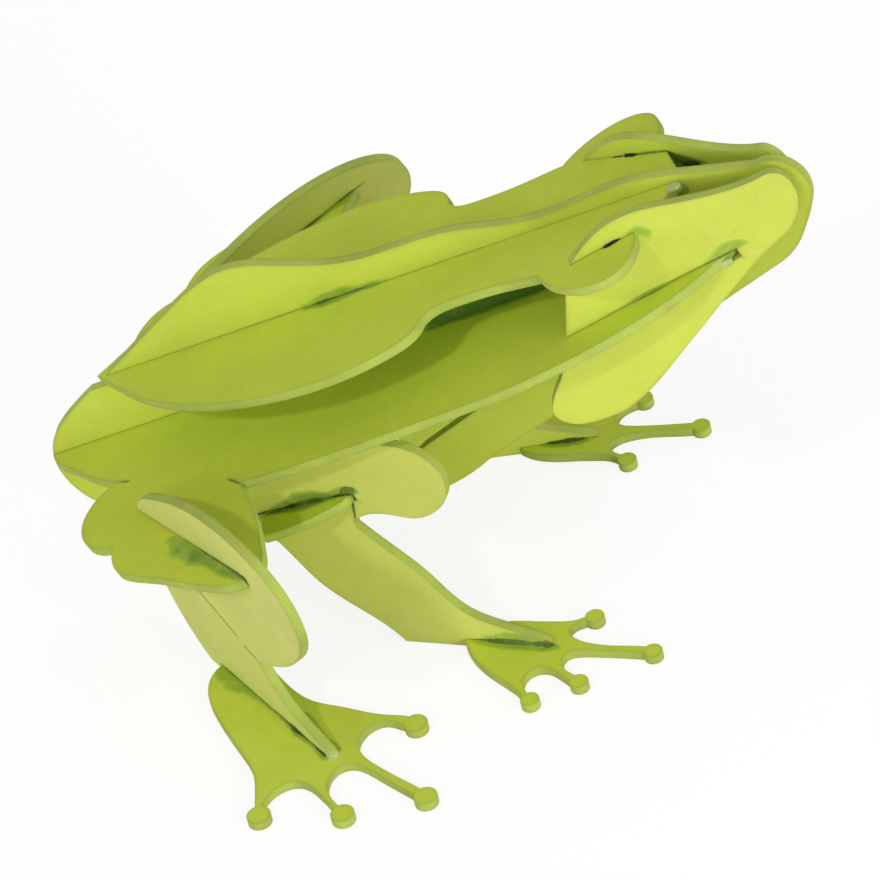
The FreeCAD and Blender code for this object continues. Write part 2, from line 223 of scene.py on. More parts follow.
def make_scorch():
    """Browning along a laser cut: full on the cut, fading over the border of the sheet."""
    tree, given, result = group("Laser scorch", [
        ("Color", COLOR, LIME_DEEP), ("Scorched", COLOR, SCORCHED),
        ("Amount", FLOAT, 0.6), ("Uneven", FLOAT, 0.6)],
        [("Color", COLOR)])
    drift = noise_node(tree, object_place(tree), DRIFT_SCALE, 2.0)
    least = math_node(tree, "SUBTRACT", 1.0, given["Uneven"])
    drift = ramp(tree, drift, *DRIFT_LEVELS, least, 1.0)
    burn = math_node(tree, "POWER", attribute(tree, "border"), SCORCH_FALL)
    burn = math_node(tree, "MULTIPLY", burn, drift)
    burn = math_node(tree, "MULTIPLY", burn, given["Amount"], clamp=True)
    tree.links.new(mix_color(tree, burn, given["Color"], given["Scorched"]), result["Color"])
    return tree


def make_soak_and_shade():
    """Card that has drunk glue: a darker green with a ragged rim, darker still where it is drenched; the
    same darkening paints shade in a few corners.
    """
    tree, given, result = group("Glue soak and painted shade", [
        ("Color", COLOR, LIME_DEEP), ("Roughness", FLOAT, 0.8)],
        [("Color", COLOR), ("Roughness", FLOAT)])
    ragged = noise_node(tree, object_place(tree), RAG_SCALE, 2.0)
    deep = math_node(tree, "ADD", attribute(tree, "stain_and_shade"), spread(tree, ragged, -RAG_REACH, RAG_REACH))
    soaked = ramp(tree, deep, *SOAKED_LEVELS)
    drenched = ramp(tree, deep, *DRENCHED_LEVELS)
    tint = mix_color(tree, soaked, DRY_TINT, SOAKED_AND_SHADED_TINT)
    tint = mix_color(tree, drenched, tint, DRENCHED_AND_SHADED_TINT)
    tree.links.new(mix_color(tree, 1.0, given["Color"], tint, "MULTIPLY"), result["Color"])
    tree.links.new(ramp(tree, soaked, 0.0, 1.0, given["Roughness"], SOAKED_ROUGHNESS), result["Roughness"])
    return tree


CARD_FIBRE = make_card_fibre()
SCORCH = make_scorch()
SOAK_AND_SHADE = make_soak_and_shade()


# ---------------------------------------------------------------- card materials
FELT_RELIEF = 0.06 * MM

PLIES = 9.0                 # layers in the thickness of the card
PLY_LEVELS = (0.35, 0.7)
PLY_SHOWN = 0.25
RIM_LEVELS = (0.30, 0.5)    # distance from the middle of the wall, where it gets darker
RIM_SHOWN = 0.16
SINGE_SCALE = 130.0
SINGE_LEVELS = (0.42, 0.62)
SINGE_SHOWN = 0.28
WALL_RELIEF = 0.08 * MM


def make_card_face():
    material, tree = new_material("lime card face")
    # the sheet's painted light, between deep green and lit pale lime
    dye_and_painted_light = mix_color(tree, attribute(tree, "painted_light_tone"), LIME_DEEP, LIME_PAINTED_LIT)
    fibre = node(tree, "ShaderNodeGroup", node_tree=CARD_FIBRE, inputs={
        "Dye": dye_and_painted_light, "Pale fibre": LIME_FIBRE, "Clouding": 0.05, "Fibres": 0.16}).outputs
    scorch = node(tree, "ShaderNodeGroup", node_tree=SCORCH, inputs={
        "Color": fibre["Color"], "Scorched": SCORCHED, "Amount": 0.30, "Uneven": 0.7}).outputs
    soak = node(tree, "ShaderNodeGroup", node_tree=SOAK_AND_SHADE, inputs={
        "Color": scorch["Color"], "Roughness": fibre["Roughness"]}).outputs
    surface(tree, node(tree, "ShaderNodeBsdfPrincipled", inputs={
        "Base Color": soak["Color"], "Roughness": soak["Roughness"],
        "Normal": bump(tree, fibre["Height"], 0.25, FELT_RELIEF),
        "Specular IOR Level": 0.18, "Sheen Weight": 0.08, "Sheen Roughness": 0.5}))
    return material


def make_cut_edge():
    """The wall left by the laser: pressed layers along the sheet, duller than the face, singed in places."""
    material, tree = new_material("lime card cut edge")
    fibre = node(tree, "ShaderNodeGroup", node_tree=CARD_FIBRE, inputs={
        "Dye": CUT_LIME, "Pale fibre": CUT_FIBRE, "Clouding": 0.10, "Fibres": 0.25}).outputs
    depth = attribute(tree, "depth")
    plies = node(tree, "ShaderNodeTexNoise", noise_dimensions="1D", inputs={
        "W": math_node(tree, "MULTIPLY", depth, PLIES), "Scale": 1.0, "Detail": 1.0}).outputs["Fac"]
    singe = noise_node(tree, object_place(tree), SINGE_SCALE, 3.0, 0.6)
    from_middle = math_node(tree, "ABSOLUTE", math_node(tree, "SUBTRACT", depth, 0.5))
    rim = math_node(tree, "MULTIPLY", ramp(tree, from_middle, *RIM_LEVELS), RIM_SHOWN)
    singed = math_node(tree, "MULTIPLY", ramp(tree, singe, *SINGE_LEVELS), SINGE_SHOWN)
    singed = math_node(tree, "ADD", singed, rim, clamp=True)
    layered = mix_color(tree, ramp(tree, plies, *PLY_LEVELS, 0.0, PLY_SHOWN), fibre["Color"], CUT_PLY)
    relief = math_node(tree, "ADD", fibre["Height"], plies)
    surface(tree, node(tree, "ShaderNodeBsdfPrincipled", inputs={
        "Base Color": mix_color(tree, singed, layered, CUT_SINGED), "Roughness": 0.88,
        "Normal": bump(tree, relief, 0.35, WALL_RELIEF), "Specular IOR Level": 0.2}))
    return material


CARD_FACE = make_card_face()
CUT_EDGE = make_cut_edge()
# places of the two materials on a sheet
ON_FACE, ON_WALL = 0, 1


# ---------------------------------------------------------------- where sheets cross
LEANING = 0.2       # a sheet whose normal rises less than this stands upright


def sheet_plane(name):
    """Normal of a sheet, up or to the frog's right, and the levels of its two faces along it."""
    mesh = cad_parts[name].data
    n = max(mesh.polygons, key=lambda f: f.area).normal.copy()
    if n.z < -LEANING or (abs(n.z) <= LEANING and n.y > 0):
        n.negate()
    levels = [v.co.dot(n) for v in mesh.vertices]
    return n, min(levels), max(levels)


PLANES = {name: sheet_plane(name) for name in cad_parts}


def corner(sheet_a, sign_a, sheet_b, sign_b):
    """The corner between two faces: a point, its direction, both normals, and the way out along each."""
    normals, levels = [], []
    for name, sign in ((sheet_a, sign_a), (sheet_b, sign_b)):
        n, low, high = PLANES[name]
        normals.append(n * sign)
        levels.append(high if sign > 0 else -low)
    na, nb = normals
    d = na.cross(nb).normalized()
    base = Matrix((na, nb, d)).inverted() @ Vector((levels[0], levels[1], 0.0))
    along_a = (nb - na * nb.dot(na)).normalized()
    along_b = (na - nb * na.dot(nb)).normalized()
    return base, d, na, nb, along_a, along_b


# Corners that hold glue: (sheet, side, sheet, side). Side 1 is the face that its sheet's
# normal above points out of, and -1 the other face.
CHEST = ("chest_plate", 1, "front_leg_right", 1)
SHOULDER = ("front_leg_right", 1, "chest_plate", 1)
THIGH = ("lower_deck", 1, "hind_leg_right", 1)
FOOT_OUT = ("hind_foot_right", 1, "hind_leg_right", 1)
FOOT_IN = ("hind_foot_right", 1, "hind_leg_right", -1)
FRONT_FOOT = ("front_foot_right", 1, "front_leg_right", 1)
FOREARM = ("front_leg_right", 1, "front_foot_right", 1)
BACK = ("upper_deck", 1, "spine", 1)
RIDGE = ("spine", 1, "upper_deck", 1)
FLANK_GLUE_AND_SHADE = ("spine", 1, "lower_deck", 1)
BELLY = ("lower_deck", 1, "spine", 1)
JAW = ("cheek_right", 1, "lower_deck", 1)
EYE = ("cheek_right", 1, "upper_deck", 1)
FAR_EYE = ("cheek_left", 1, "upper_deck", 1)
FAR_THIGH = ("lower_deck", 1, "hind_leg_left", -1)
FAR_FOOT = ("hind_foot_left", 1, "hind_leg_left", -1)
FAR_FRONT_FOOT = ("front_foot_left", 1, "front_leg_left", 1)


# ---------------------------------------------------------------- soaked card and painted shade
# Glue soaked into the card, with painted shade drawn the same way in a few places. Each stain lies
# on the first face of a corner, as (mm along the corner, mm away from it, mm wide, depth of colour) stops.
STAINS_AND_SHADES = [
    (THIGH, [
        (7.0, 0.9, 2.0, 0.5), (10.0, 1.3, 3.4, 0.8), (14.0, 1.2, 3.2, 0.85), (17.5, 0.8, 2.0, 0.8),
        (22.0, 0.8, 1.9, 0.7), (25.5, 0.4, 1.3, 0.65), (27.6, 0.2, 0.9, 0.65)]),
    (FOOT_OUT, [
        (-6.3, 0.4, 1.1, 0.55), (-4.0, 1.1, 2.7, 0.55), (-1.5, 1.4, 3.0, 0.42), (1.0, 0.5, 1.3, 0.35),
        (8.0, 0.15, 0.5, 0.4), (12.0, 0.3, 0.8, 0.6), (14.0, 0.4, 1.2, 0.8), (17.0, 0.2, 0.7, 0.5),
        (21.0, 0.4, 1.0, 0.6)]),
    (FOOT_IN, [
        (-21.0, 0.4, 1.0, 0.6), (-18.0, 0.5, 1.0, 0.5), (-14.5, 0.7, 1.4, 0.6), (-12.0, 0.9, 1.8, 0.75),
        (-9.6, 0.4, 0.9, 0.45)]),
    (FRONT_FOOT, [
        (5.0, 0.3, 0.8, 0.4), (9.5, 0.7, 1.7, 0.7), (13.0, 0.7, 1.5, 0.7), (16.0, 0.7, 1.6, 0.7),
        (18.0, 0.4, 0.8, 0.4)]),
    (FOREARM, [
        (-18.0, 0.5, 1.0, 0.45), (-14.0, 0.9, 1.9, 0.55), (-10.0, 0.9, 1.9, 0.55), (-7.0, 0.4, 1.0, 0.4)]),
    (SHOULDER, [
        (-3.2, 0.2, 1.6, 0.5), (-1.5, 0.6, 2.0, 0.75), (1.0, 0.4, 1.0, 0.7), (3.5, 0.8, 2.2, 0.75),
        (6.0, 1.0, 2.6, 0.85), (8.5, 0.5, 1.3, 0.7), (11.0, 0.2, 0.7, 0.5)]),
    # glue soak on the chest plate, deepened to stand also for the shade under the lower deck
    (CHEST, [
        (-15.0, 0.2, 0.8, 0.8), (-9.0, 0.4, 1.3, 0.95), (-5.0, 0.6, 1.8, 0.85), (-2.0, 0.3, 0.9, 0.75),
        (1.5, 0.2, 0.7, 0.5)]),
    (BACK, [
        (1.5, 0.2, 0.7, 0.4), (5.0, 0.5, 1.4, 0.7), (9.0, 0.4, 1.1, 0.6), (15.0, 0.2, 0.7, 0.35)]),
    (RIDGE, [
        (-15.5, 0.1, 0.5, 0.3), (-11.0, 0.3, 1.0, 0.55), (-7.5, 0.7, 1.6, 0.6), (-4.5, 0.6, 1.4, 0.5),
        (-1.0, 0.2, 0.6, 0.3)]),
    # spine face between the decks: a glue band, deepened to near black as painted shade in the deep gap
    # under the upper deck
    (FLANK_GLUE_AND_SHADE, [
        (-39.0, 0.3, 2.0, 0.7), (-36.0, 0.8, 4.6, 1.05), (-31.0, 1.0, 5.2, 1.1), (-26.0, 1.0, 5.0, 1.1),
        (-21.0, 0.7, 4.0, 1.1), (-17.0, 0.5, 2.8, 1.0), (-14.0, 0.1, 0.8, 0.5)]),
    (BELLY, [
        (14.5, 0.1, 0.4, 0.5), (18.0, 0.2, 0.8, 0.8), (26.0, 0.3, 1.0, 0.85), (35.0, 0.2, 0.8, 0.8),
        (38.0, 0.1, 0.4, 0.5)]),
    (JAW, [
        (-64.2, 0.1, 1.0, 0.4), (-63.2, 0.6, 1.6, 0.55), (-61.5, 0.9, 1.8, 0.55), (-59.5, 0.4, 1.2, 0.4),
        (-57.5, 0.2, 0.7, 0.3)]),
    (JAW, [(-66.0, 2.7, 1.0, 0.22), (-64.0, 2.5, 1.1, 0.22)]),
    (JAW, [(-65.6, 0.5, 0.8, 0.22), (-64.7, 0.5, 0.8, 0.22)]),
    (JAW, [(-53.0, 0.1, 0.4, 0.5), (-48.5, 0.2, 0.8, 0.9), (-44.0, 0.1, 0.4, 0.5)]),
    # glue along the eye slot; the stops away from the corner are a painted shadow of the eye lobe on the
    # cheek
    (EYE, [
        (-51.4, 0.2, 0.9, 0.4), (-52.8, 0.1, 1.5, 0.5), (-53.5, -1.2, 1.6, 0.5), (-53.2, -2.4, 1.0, 0.3)]),
    # a thin glue line along the far eye slot, then dark glue and painted shade filling the gap in front of
    # the far eye lobe
    (FAR_EYE, [
        (-48.0, 0.1, 0.3, 0.5), (-50.0, 0.2, 0.5, 0.8), (-56.0, 0.0, 0.5, 1.0), (-57.4, -1.8, 2.0, 1.15),
        (-59.3, -2.7, 1.6, 1.15), (-61.2, -2.9, 0.6, 0.8)]),
    (FAR_THIGH, [
        (3.0, 0.2, 0.8, 0.9), (6.0, 0.4, 1.1, 1.0), (9.5, 0.3, 0.8, 0.9), (12.5, 0.4, 1.0, 0.6),
        (15.5, 0.8, 2.8, 0.75), (19.0, 0.6, 1.6, 0.6)]),
    (FAR_FOOT, [(-4.0, 0.3, 1.2, 0.6), (4.0, 0.5, 1.6, 0.7), (14.0, 0.3, 1.0, 0.6)]),
    (FAR_FRONT_FOOT, [
        (8.0, 0.3, 0.8, 0.5), (11.0, 0.5, 1.4, 0.75), (14.0, 0.5, 1.3, 0.75), (15.5, 0.3, 0.7, 0.5)]),
]
STAIN_REACH = 1.5           # a stain has faded out this many half widths from its middle line
STAIN_GRID = 0.3 * MM
STAIN_CLEAR = 0.85 * MM     # grid points keep this far from the outline


def stain_runs(name, sign):
    """Stains and painted shades on one face of a sheet, each a list of (place, half width, depth)."""
    runs = []
    for where, stops in STAINS_AND_SHADES:
        if where[:2] == (name, sign):
            base, d, _, _, along, _ = corner(*where)
            runs.append([(base + d * (t * MM) + along * (off * MM), wide * MM / 2.0, deep)
                         for t, off, wide, deep in stops])
    return runs


def stain_at(p, runs):
    """How deeply glue stains and painted shades have coloured the card here; 0 is dry and unshaded."""
    best = 0.0
    for run in runs:
        for (a, wa, ka), (b, wb, kb) in zip(run, run[1:]):
            d = b - a
            s = min(max((p - a).dot(d) / d.length_squared, 0.0), 1.0)
            reach = (p - a - d * s).length / (wa + (wb - wa) * s)
            best = max(best, (ka + (kb - ka) * s) * min(max(STAIN_REACH - reach, 0.0), 1.0))
    return best


# ---------------------------------------------------------------- sheets
# Painted light, sheet by sheet, from deep green (0) to pale (1): sheets that face the lamps and the white
# floor are painted paler and brighter, the decks and shaded sheets deeper green.
PAINTED_LIGHT_TONES = {
    "lower_deck": 0.12, "upper_deck": 0.15, "chest_plate": 0.1, "spine": 0.3,
    "cheek_right": 0.4, "cheek_left": 0.3, "hind_leg_right": 1.0, "hind_leg_left": 0.9,
    "front_leg_right": 0.8, "front_leg_left": 0.4, "hind_foot_right": 0.25, "hind_foot_left": 0.3,
    "front_foot_right": 0.15, "front_foot_left": 0.15,
}
ARRIS = 0.08 * MM           # how far a sharp edge is worn back, on the face and down the wall
ARRIS_MIDDLE = 0.3          # share of that at the middle of the rounding
BORDER_STEPS = ((0.25 * MM, 0.5), (0.7 * MM, 0.0))  # distance from the outline, and scorch there
BORDER_SPACING = 0.6 * MM
BORDER_CLEAR = 0.93         # share of the distance that a border point keeps from every edge
SAME_POINT = 2e-6
SHORTEST_EDGE = 1e-7
NOT_ZERO = 1e-9
MITRE_LIMIT = 0.5           # a sharp corner is pushed in by at most the amount over this
SQUARE_ON = 0.995           # cosine above which a face belongs to the flat of the sheet
NET_TOLERANCE = 1e-5        # mm
ON_THIS_SIDE = 0.3          # share of the thickness within which a stain reaches a point
WALL_CREASE = math.radians(40)


def outline_loops(faces):
    """Ordered loops of vertices around a flat group of faces, the sheet on the left of each."""
    inside = set(faces)
    follow = {}
    for f in faces:
        for loop in f.loops:
            if not any(g in inside for g in loop.edge.link_faces if g is not f):
                follow[loop.vert] = loop.link_loop_next.vert
    loops = []
    while follow:
        start, here = follow.popitem()
        chain = [start]
        while here is not start:
            chain.append(here)
            here = follow.pop(here)
        loops.append(chain)
    return loops


def closed_segments(loops):
    """Starts and ends of all segments of closed 2-D loops."""
    return np.vstack(loops), np.vstack([np.roll(loop, -1, axis=0) for loop in loops])


def pushed_in(points, amount):
    """A closed 2-D loop moved to its left by a small amount, corners mitred."""
    before = np.roll(points, 1, axis=0)
    after = np.roll(points, -1, axis=0)
    a = points - before
    b = after - points
    a /= np.linalg.norm(a, axis=1)[:, None]
    b /= np.linalg.norm(b, axis=1)[:, None]
    na = np.stack([-a[:, 1], a[:, 0]], 1)
    nb = np.stack([-b[:, 1], b[:, 0]], 1)
    mean = na + nb
    mean /= np.maximum(np.linalg.norm(mean, axis=1), NOT_ZERO)[:, None]
    stretch = 1.0 / np.maximum((mean * na).sum(1), MITRE_LIMIT)
    return points + mean * (stretch * amount)[:, None]


def distance_to(points, starts, ends):
    """Distance of each 2-D point to the nearest of the segments."""
    along = ends - starts
    length2 = np.maximum((along ** 2).sum(1), NOT_ZERO ** 2)
    best = np.full(len(points), np.inf)
    for s, d, l2 in zip(starts, along, length2):
        rel = points - s
        t = np.clip((rel @ d) / l2, 0.0, 1.0)
        best = np.minimum(best, np.linalg.norm(rel - t[:, None] * d, axis=1))
    return best


def inside_of(points, starts, ends):
    """Whether each 2-D point lies within the closed segments, by the turn they make around it."""
    turns = np.zeros(len(points))
    for p, q in zip(starts, ends):
        ra, rb = p - points, q - points
        turns += np.arctan2(ra[:, 0] * rb[:, 1] - ra[:, 1] * rb[:, 0], (ra * rb).sum(1))
    return turns > math.pi


def border_points(loops, away):
    """Points inside the sheet at a set distance from its outline, evenly spaced."""
    made = []
    starts, ends = closed_segments(loops)
    for p, q in zip(starts, ends):
        d = q - p
        length = np.linalg.norm(d)
        if length < SHORTEST_EDGE:
            continue
        d /= length
        count = max(1, int(round(length / BORDER_SPACING)))
        for k in range(count):
            made.append(p + d * length * (k + 0.5) / count + np.array([-d[1], d[0]]) * away)
    made = np.array(made)
    return made[distance_to(made, starts, ends) > BORDER_CLEAR * away]


def stain_points(runs, flat, loops):
    """A fine grid over the stained parts of a face, clear of its border."""
    made = []
    for run in runs:
        at = np.array([flat(p) for p, _, _ in run])
        spread_out = STAIN_REACH * max(w for _, w, _ in run)
        low, high = at.min(axis=0) - spread_out, at.max(axis=0) + spread_out
        grid = np.meshgrid(np.arange(low[0], high[0], STAIN_GRID), np.arange(low[1], high[1], STAIN_GRID))
        made.append(np.stack(grid, -1).reshape(-1, 2))
    if not made:
        return np.zeros((0, 2))
    half_step = 0.5 * STAIN_GRID
    made = np.unique(np.round(np.vstack(made) / half_step), axis=0) * half_step
    starts, ends = closed_segments(loops)
    made = made[inside_of(made, starts, ends)]
    return made[distance_to(made, starts, ends) > STAIN_CLEAR]


class Sheet:
    """A sheet redrawn from its CAD mesh, with the values that its materials read at each point."""

    def __init__(self, name):
        self.name = name
        self.cad = bmesh.new()
        self.cad.from_mesh(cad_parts[name].data)
        bmesh.ops.remove_doubles(self.cad, verts=self.cad.verts, dist=SAME_POINT)
        self.cad.normal_update()
        self.normal = PLANES[name][0]
        self.points, self.faces, self.kinds = [], [], []
        self.border, self.depth = [], []
        self.on_wall = {}       # CAD vertex: the point where the wall meets it
        self.stains = []        # (depth of a face, its stains)

    def add(self, place, border, depth):
        self.points.append(place)
        self.border.append(border)
        self.depth.append(depth)
        return len(self.points) - 1

    def draw_side(self, sign):
        """One flat face: its rounded arris, then a net with points along the border and over stains."""
        n = self.normal
        out = n * sign
        u = n.orthogonal().normalized()
        v = n.cross(u) * sign
        depth = 0.5 + 0.5 * sign
        caps = [f for f in self.cad.faces if f.normal.dot(n) * sign > SQUARE_ON]
        level = sum(f.calc_center_median().dot(n) for f in caps) / len(caps)

        def flat(p):
            return np.array([p.dot(u), p.dot(v)])

        def place(q):
            return u * q[0] + v * q[1] + n * level

        loops, rim_points = [], []
        for chain in outline_loops(caps):
            outline = np.array([flat(p.co) for p in chain])
            middle = pushed_in(outline, ARRIS * ARRIS_MIDDLE)
            rim = pushed_in(outline, ARRIS)
            low = [self.add(p.co - out * ARRIS, 1.0, depth) for p in chain]
            half = [self.add(p.co + (place(m) - place(flat(p.co))) - out * ARRIS * ARRIS_MIDDLE, 1.0, depth)
                    for p, m in zip(chain, middle)]
            top = [self.add(p.co + (place(m) - place(flat(p.co))), 1.0, depth) for p, m in zip(chain, rim)]
            self.on_wall.update(zip(chain, low))
            for ring, inner in ((low, half), (half, top)):
                for i in range(len(ring)):
                    j = (i + 1) % len(ring)
                    self.faces.append((ring[i], ring[j], inner[j], inner[i]))
                    self.kinds.append(ON_WALL)
            loops.append(rim)
            rim_points += top
        runs = stain_runs(self.name, int(sign))
        self.stains.append((depth, runs))
        self.draw_net(loops, rim_points, stain_points(runs, flat, loops), place, depth)

    def draw_net(self, loops, rim_points, stain_grid, place, depth):
        """Triangles over a flat face, from its rim inward."""
        edges, first = [], 0
        for loop in loops:
            edges += [(first + i, first + (i + 1) % len(loop)) for i in range(len(loop))]
            first += len(loop)
        given = [np.vstack(loops)]
        scorch = [np.ones(first)]
        for away, value in BORDER_STEPS:
            given.append(border_points(loops, away))
            scorch.append(np.full(len(given[-1]), value))
        given.append(stain_grid)
        scorch.append(np.zeros(len(stain_grid)))
        given = np.vstack(given)
        scorch = np.concatenate(scorch)
        made, _, triangles, sources, _, _ = geometry.delaunay_2d_cdt(
            [Vector(p) for p in given * TO_MM], edges, [], 0, NET_TOLERANCE)
        index = []
        for p, origin in zip(made, sources):
            source = origin[0] if origin else None
            if source is not None and source < len(rim_points):
                index.append(rim_points[source])
            else:
                border = float(scorch[source]) if source is not None else 1.0
                index.append(self.add(place(np.array(p) / TO_MM), border, depth))
        triangles = np.array([t for t in triangles if len(t) == 3])
        centres = (np.array([tuple(p) for p in made]) / TO_MM)[triangles].mean(axis=1)
        for t in triangles[inside_of(centres, *closed_segments(loops))]:
            self.faces.append(tuple(index[i] for i in t))
            self.kinds.append(ON_FACE)

    def draw_walls(self):
        n = self.normal
        levels = [p.co.dot(n) for p in self.cad.verts]
        bottom = min(levels)
        thick = max(levels) - bottom
        for f in self.cad.faces:
            if abs(f.normal.dot(n)) <= SQUARE_ON:
                for p in f.verts:
                    if p not in self.on_wall:
                        self.on_wall[p] = self.add(p.co.copy(), 1.0, (p.co.dot(n) - bottom) / thick)
                self.faces.append(tuple(self.on_wall[p] for p in f.verts))
                self.kinds.append(ON_WALL)

    def stain_of(self, place, depth):
        return max([0.0] + [stain_at(place, runs) for at, runs in self.stains
                            if runs and abs(at - depth) < ON_THIS_SIDE])

    def to_mesh(self):
        mesh = bpy.data.meshes.new(self.name + "_card")
        mesh.from_pydata([tuple(p) for p in self.points], [], self.faces)
        mesh.update()
        for label, values in (
                ("border", self.border), ("depth", self.depth),
                ("stain_and_shade", [self.stain_of(p, at) for p, at in zip(self.points, self.depth)]),
                ("painted_light_tone", [PAINTED_LIGHT_TONES[self.name]] * len(self.points))):
            mesh.attributes.new(label, "FLOAT", "POINT").data.foreach_set("value", values)
        mesh.polygons.foreach_set("material_index", self.kinds)
        mesh.polygons.foreach_set("use_smooth", [True] * len(self.kinds))
        mesh.set_sharp_from_angle(angle=WALL_CREASE)
        # a flat face shades flat up to its rim; a zero normal leaves the wall's own smooth one
        normals = []
        for p in mesh.polygons:
            kept = tuple(p.normal) if self.kinds[p.index] == ON_FACE else (0.0, 0.0, 0.0)
            normals += [kept] * p.loop_total
        mesh.normals_split_custom_set(normals)
        mesh.materials.append(CARD_FACE)
        mesh.materials.append(CUT_EDGE)
        return mesh


for name in sorted(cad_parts):
    sheet = Sheet(name)
    sheet.draw_side(1.0)
    sheet.draw_side(-1.0)
    sheet.draw_walls()
    sheet.cad.free()
    card = bpy.data.objects.new(name + "_card", sheet.to_mesh())
    bpy.context.scene.collection.objects.link(card)
    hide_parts(name)
    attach(card, "root")


# ---------------------------------------------------------------- glue
PATCH_SCALE = 350.0
PATCH_REACH = 0.3
FULL_LEVELS = (0.25, 0.95)      # thickness of the glue over which its colour deepens
BLACK_LEVELS = (1.1, 1.6)
DRIED_ROUGHNESS = (0.34, 0.58)
WRINKLE_SCALE = 1400.0
WRINKLE_RELIEF = 0.08 * MM
MILK_SCALE = 500.0
MILK_LEVELS = (0.35, 0.65)
MILK_ROUGHNESS = (0.16, 0.34)


def make_dried_glue():
    """Dark dried glue with a dull gloss: green where it is thin, nearly black where it is thick."""
    material, tree = new_material("dried glue")
    here = object_place(tree)
    patchy = noise_node(tree, here, PATCH_SCALE, 2.0)
    thick = math_node(tree, "ADD", attribute(tree, "core"), spread(tree, patchy, -PATCH_REACH, PATCH_REACH))
    color = mix_color(tree, ramp(tree, thick, *FULL_LEVELS), GLUE_THIN, GLUE_FULL)
    color = mix_color(tree, ramp(tree, thick, *BLACK_LEVELS), color, GLUE_BLACK)
    wrinkles = noise_node(tree, here, WRINKLE_SCALE, 2.0)
    surface(tree, node(tree, "ShaderNodeBsdfPrincipled", inputs={
        "Base Color": color, "Roughness": spread(tree, patchy, *DRIED_ROUGHNESS),
        "Normal": bump(tree, wrinkles, 0.3, WRINKLE_RELIEF), "Specular IOR Level": 0.15}))
    return material


def make_milky_glue():
    """Glue that stayed clear: a milky pale green bead."""
    material, tree = new_material("milky glue")
    milk = noise_node(tree, object_place(tree), MILK_SCALE, 2.0)
    surface(tree, node(tree, "ShaderNodeBsdfPrincipled", inputs={
        "Base Color": mix_color(tree, ramp(tree, milk, *MILK_LEVELS), MILK_DEEP, MILK_PALE),
        "Roughness": spread(tree, milk, *MILK_ROUGHNESS), "IOR": 1.45, "Transmission Weight": 0.25}))
    return material


DRIED, MILKY = 0, 1         # places of the two materials on the glue
SINK = 0.05 * MM            # how far glue reaches into the card, so that no gap shows
RING_SPACING = 0.22         # mm between two cross sections of a fillet
FEWEST_RINGS = 10
SMALLEST = 0.02             # mm, the least size of a fillet
SECTION = 8                 # points across the open side of a fillet
FULL_SIZE = 0.5             # mm at which a fillet reaches its full colour
SWAY, LEAN = 0.35, 0.3      # how much a fillet's size and balance wander
SWAY_RATE, LEAN_RATE = 1.1, 0.8     # how often, per mm
SWAY_ROW, LEAN_ROW = 3.0, 9.0       # where in the noise each is read
DROP_RINGS, DROP_SIDES = 7, 22
DROP_WOBBLE, DROP_LOBES = 0.10, 1.5     # how far a drop's outline wanders, and how often
DROP_RIM_DEPTH = 0.3        # depth of colour at the rim of a drop
DROP_TOP_DEPTH = 0.5        # what its height adds to that
GLUE_CREASE = math.radians(60)

glue_verts, glue_faces, glue_core, glue_kind = [], [], [], []


def eased(stops, t):
    """Value at t on a smooth line through (t, value) stops."""
    for (t0, v0), (t1, v1) in zip(stops, stops[1:]):
        if t <= t1:
            s = min(max((t - t0) / (t1 - t0), 0.0), 1.0)
            return v0 + (v1 - v0) * s * s * (3.0 - 2.0 * s)
    return stops[-1][1]


def join_rings(first, rings, size, kind):
    """Faces between neighbouring closed rings of points, and a cap on both ends."""
    last = first + (rings - 1) * size
    for row in range(first, last, size):
        for j in range(size):
            k = (j + 1) % size
            glue_faces.append((row + j, row + k, row + size + k, row + size + j))
    glue_faces.append(tuple(first + j for j in reversed(range(size))))
    glue_faces.append(tuple(last + j for j in range(size)))
    glue_kind.extend([kind] * (len(glue_faces) - len(glue_kind)))


def glue_fillet(where, stops, hollow=1.6, dark=1.0):
    """Glue drawn into the corner between two sheets; stops are (mm along it, size in mm)."""
    base, d, na, nb, along_a, along_b = corner(*where)
    start, end = stops[0][0], stops[-1][0]
    rings = max(FEWEST_RINGS, int((end - start) / RING_SPACING))
    first = len(glue_verts)
    for i in range(rings):
        t = start + (end - start) * i / (rings - 1)
        size = max(eased(stops, t), SMALLEST)
        sway = SWAY * noise.noise(Vector((t * SWAY_RATE, start, SWAY_ROW)))
        lean = LEAN * noise.noise(Vector((t * LEAN_RATE, start, LEAN_ROW)))
        ra = size * (1.0 + sway + lean) * MM
        rb = size * (1.0 + sway - lean) * MM
        mid = base + d * (t * MM)
        for k in range(SECTION):
            f = k / (SECTION - 1)
            out_a, out_b = (1.0 - f) ** hollow, f ** hollow
            glue_verts.append(mid + along_a * (ra * out_a) + along_b * (rb * out_b)
                              - na * (SINK * (1.0 - f)) - nb * (SINK * f))
            glue_core.append(dark * min(size / FULL_SIZE, 1.0) * (1.0 - abs(2.0 * f - 1.0) ** 2))
        glue_verts.append(mid - (na + nb) * SINK)
        glue_core.append(1.0)
    join_rings(first, rings, SECTION + 1, DRIED)


